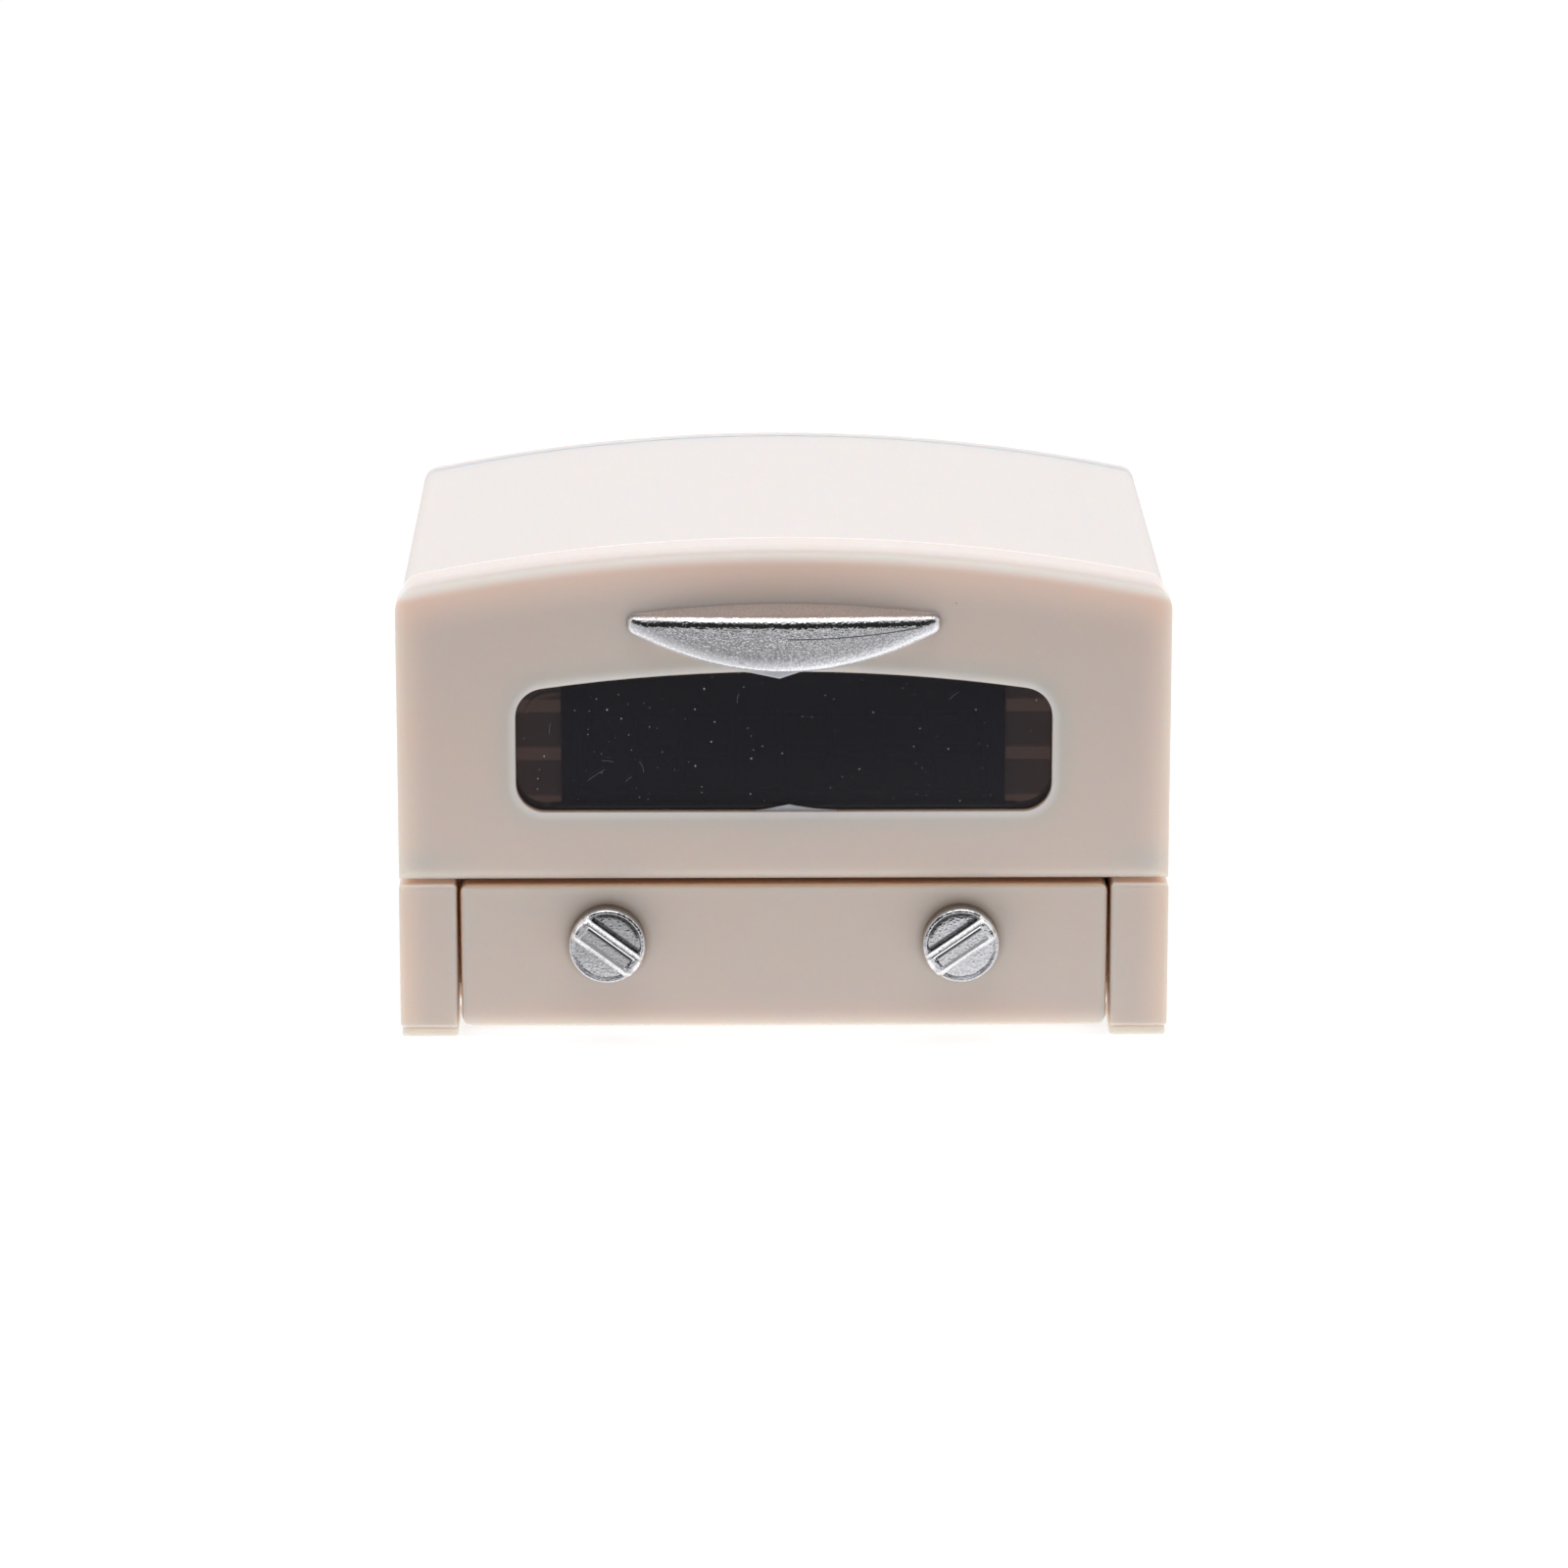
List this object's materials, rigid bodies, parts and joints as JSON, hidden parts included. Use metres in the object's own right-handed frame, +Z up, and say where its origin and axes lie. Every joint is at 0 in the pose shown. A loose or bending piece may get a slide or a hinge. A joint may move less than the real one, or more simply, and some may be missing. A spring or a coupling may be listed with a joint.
{
  "type": "dollhouse toaster oven",
  "caption": "Miniature toaster oven with an arched top, a drop-down window door with a crescent handle, a pull-out drawer with turning knobs, and a sliding rack.",
  "frame": {"origin": "on the table, below the middle of the object's box", "axes": "+X to the right as seen from the front, +Y from the door to the back, +Z up"},
  "size_m": [0.045, 0.035, 0.0294],
  "materials": {
    "beige_plastic": "satin moulded plastic, slightly translucent at the edges",
    "foot_plastic": "satin moulded plastic, a little yellower",
    "black_plastic": "dull black",
    "black_wire": "black coated wire",
    "smoked_pane": "dark smoked clear plastic, polished",
    "silver_plating": "satin silver plating with a fine texture",
    "steel": "plain steel"
  },
  "bodies": {
    "housing": {"housing_shell": "beige_plastic", "rear_cover": "beige_plastic", "base_frame": "beige_plastic", "deck_plate": "beige_plastic", "oven_liner": "black_plastic", "foot_pads": "foot_plastic", "cover_screws": "steel", "hinge_pin_left": "steel", "hinge_pin_right": "steel"},
    "door": {"door_panel": "beige_plastic", "window_pane": "smoked_pane", "window_retainer": "beige_plastic", "door_handle": "silver_plating"},
    "rack": {"wire_rack": "black_wire"},
    "drawer": {"drawer_front": "beige_plastic", "drawer_tray": "beige_plastic"},
    "left_knob": {"knob_left": "silver_plating", "knob_clip_left": "steel"},
    "right_knob": {"knob_right": "silver_plating", "knob_clip_right": "steel"}
  },
  "joints": [
    {"name": "door_hinge", "type": "hinge", "parent": "housing", "child": "door", "pos_m": [0, -0.01385, 0.0106], "axis": [1, 0, 0], "range_deg": [0, 90]},
    {"name": "rack_slide", "type": "slide", "parent": "housing", "child": "rack", "axis": [0, -1, 0], "range_m": [0, 0.0079]},
    {"name": "drawer_slide", "type": "slide", "parent": "housing", "child": "drawer", "axis": [0, -1, 0], "range_m": [0, 0.01]},
    {"name": "left_knob_turn", "type": "hinge", "parent": "drawer", "child": "left_knob", "pos_m": [-0.01033, -0.01505, 0.00585], "axis": [0, -1, 0], "continuous": true},
    {"name": "right_knob_turn", "type": "hinge", "parent": "drawer", "child": "right_knob", "pos_m": [0.01033, -0.01505, 0.00585], "axis": [0, -1, 0], "continuous": true}
  ],
  "couplings": [
    {"joint": "rack_slide", "follows": "door_hinge", "m_per_rad": 0.005}
  ]
}
